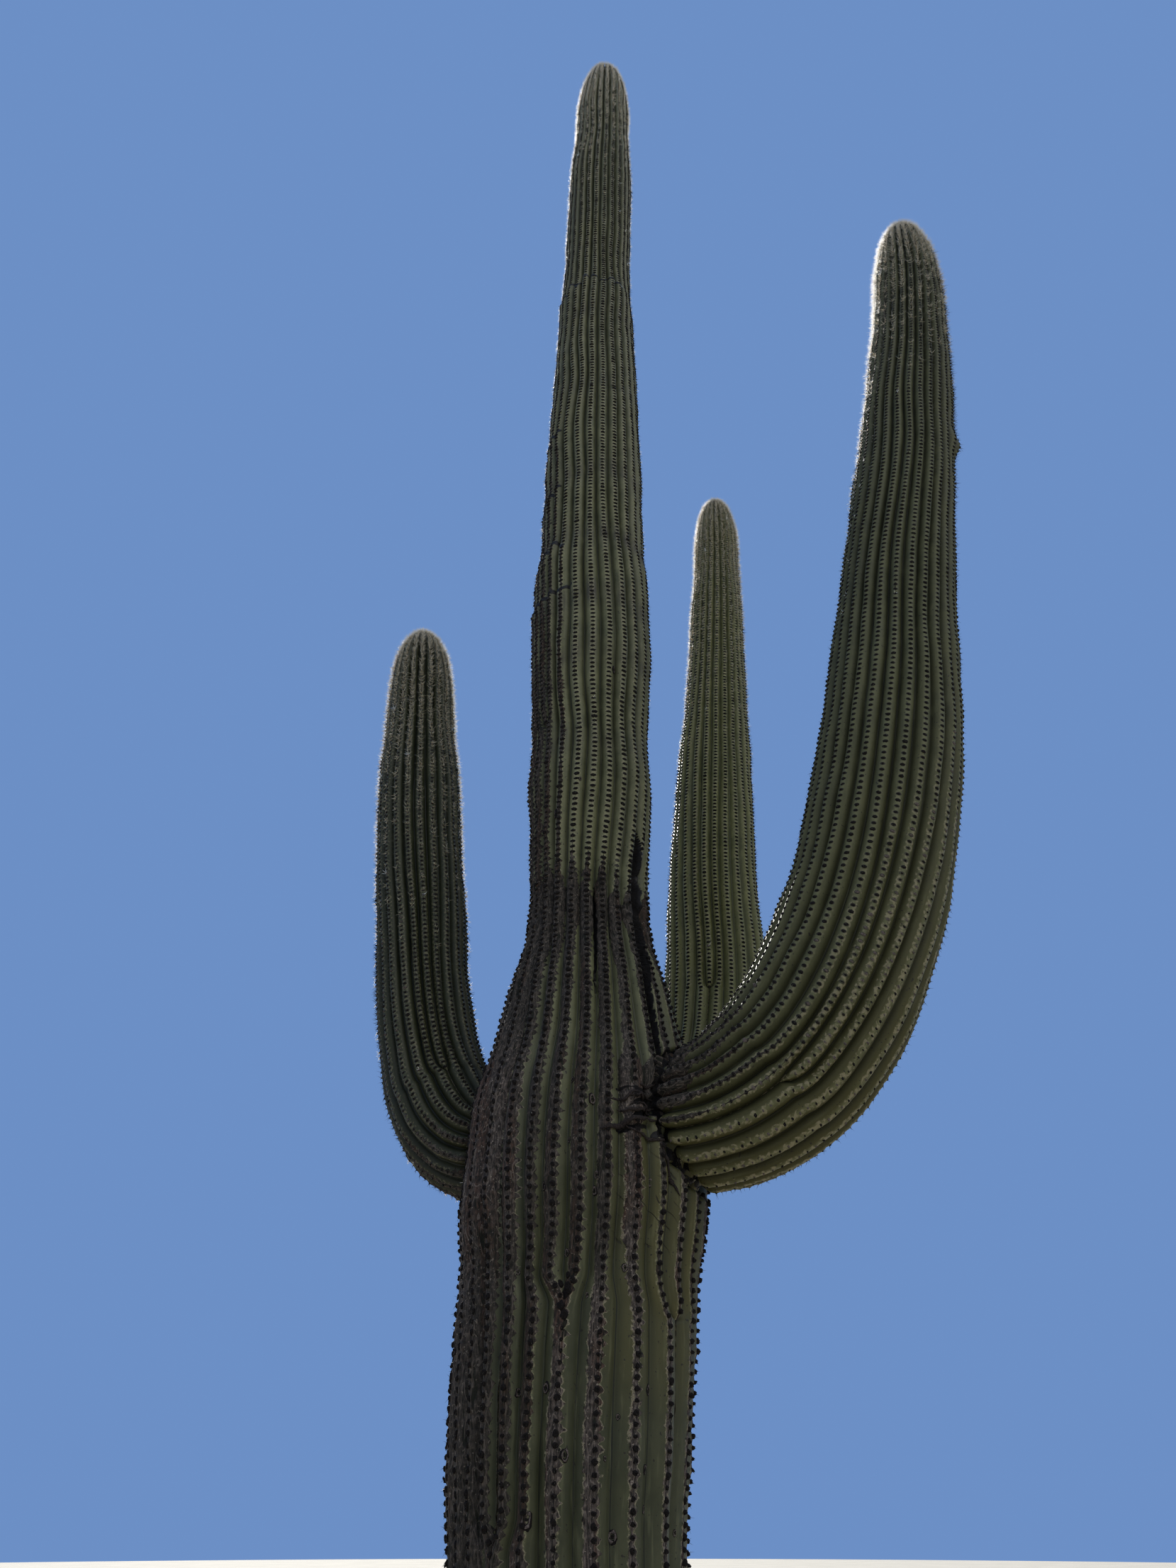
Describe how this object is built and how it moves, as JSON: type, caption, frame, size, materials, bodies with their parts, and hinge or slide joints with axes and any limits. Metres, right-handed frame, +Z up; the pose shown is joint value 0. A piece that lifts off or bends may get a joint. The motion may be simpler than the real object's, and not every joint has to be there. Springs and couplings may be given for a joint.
{
  "type": "saguaro cactus",
  "caption": "Tall ribbed saguaro cactus with a barrel-shaped lower trunk, a narrow neck and arms that bend out and up on both sides and behind.",
  "frame": {"origin": "middle of the flat cut under the trunk, at ground level", "axes": "+Z up along the trunk, +X to the side of the longest arm, -Y to the front that is seen most"},
  "size_m": [2.526, 1.4633, 9.437],
  "materials": {
    "trunk_skin": "waxy ribbed skin, corky brown bark along the rib crests",
    "arm_skin": "waxy olive-green ribbed skin",
    "areoles": "felted grey-brown pads with stiff spines"
  },
  "bodies": {
    "root": {"trunk": "trunk_skin", "right_arm_bend": "arm_skin", "right_arm_rise": "arm_skin", "left_arm_bend": "arm_skin", "left_arm_rise": "arm_skin", "back_arm_bend": "arm_skin", "back_arm_rise": "arm_skin"}
  },
  "joints": []
}
